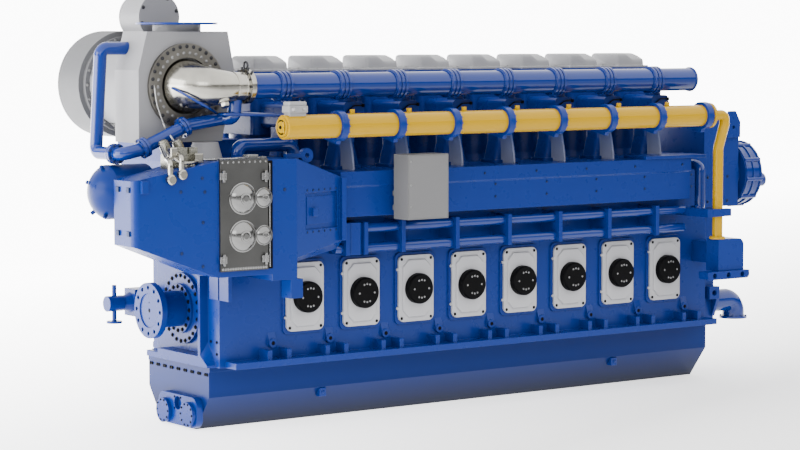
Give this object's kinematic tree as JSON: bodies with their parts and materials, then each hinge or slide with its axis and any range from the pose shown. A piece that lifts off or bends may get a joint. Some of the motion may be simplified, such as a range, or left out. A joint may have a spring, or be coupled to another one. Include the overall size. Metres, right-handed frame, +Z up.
{
  "type": "dual-fuel engine",
  "caption": "In-line medium-speed dual-fuel engine, blue, with a yellow gas pipe, turbocharger and charge air cooler at the coupling end, on its oil sump.",
  "frame": {"origin": "On the crankshaft's upright plane, under the middle of the cylinder row, at the underside of the oil sump.", "axes": "+X runs along the crankshaft to the pump end, +Y across to the camshaft side, +Z up."},
  "size_m": [10.737, 3.058, 5.1648],
  "materials": {
    "blue_paint": "gloss enamel",
    "grey_paint": "satin enamel",
    "door_paint": "satin enamel",
    "cover_paint": "satin enamel",
    "black_cap": "satin black",
    "yellow_paint": "gloss enamel",
    "cooler_metal": "satin sheet",
    "dome_metal": "bright pressed cap",
    "bend_metal": "bright heat shield",
    "dark_ring": "machined casting"
  },
  "bodies": {
    "root": {"engine_block": "blue_paint", "oil_sump": "blue_paint", "sump_end_box": "blue_paint", "sump_covers": "blue_paint", "crankcase_doors": "door_paint", "far_crankcase_doors": "door_paint", "relief_valves": "black_cap", "crank_end_cover": "blue_paint", "crank_flange": "blue_paint", "turning_gear": "blue_paint", "water_pipe_low": "blue_paint", "water_pipe_high": "blue_paint", "water_pipe_brackets": "blue_paint", "air_receiver": "blue_paint", "cylinder_jackets": "blue_paint", "cylinder_heads": "blue_paint", "head_covers": "cover_paint", "inlet_ducts": "blue_paint", "exhaust_pipe": "blue_paint", "exhaust_bellows": "blue_paint", "exhaust_branches": "blue_paint", "gas_pipe": "yellow_paint", "gas_pipe_clamps": "blue_paint", "gas_feeds": "yellow_paint", "gas_taps": "yellow_paint", "gas_drop_pipe": "yellow_paint", "gas_block": "blue_paint", "gas_block_plate": "blue_paint", "gas_pipe_arm": "blue_paint", "control_box": "grey_paint", "cooler_housing": "blue_paint", "cooler_plate": "cooler_metal", "cooler_domes": "dome_metal", "air_diffuser": "blue_paint", "air_outlet": "blue_paint", "air_vessel": "blue_paint", "gas_casing": "grey_paint", "turbine_ring": "dark_ring", "turbine_bend": "bend_metal", "outlet_lid": "blue_paint", "compressor": "grey_paint", "silencer": "grey_paint", "turbo_bracket": "blue_paint", "end_casing": "blue_paint", "water_pumps": "blue_paint", "lube_elbow": "blue_paint", "cam_casing": "blue_paint", "cam_covers": "blue_paint", "bypass_pipe": "blue_paint", "valve_group": "bend_metal", "bend_support": "grey_paint", "air_run_pipe": "blue_paint", "pump_riser": "blue_paint", "cooler_brackets": "blue_paint", "fuel_pumps": "blue_paint"}
  },
  "joints": []
}
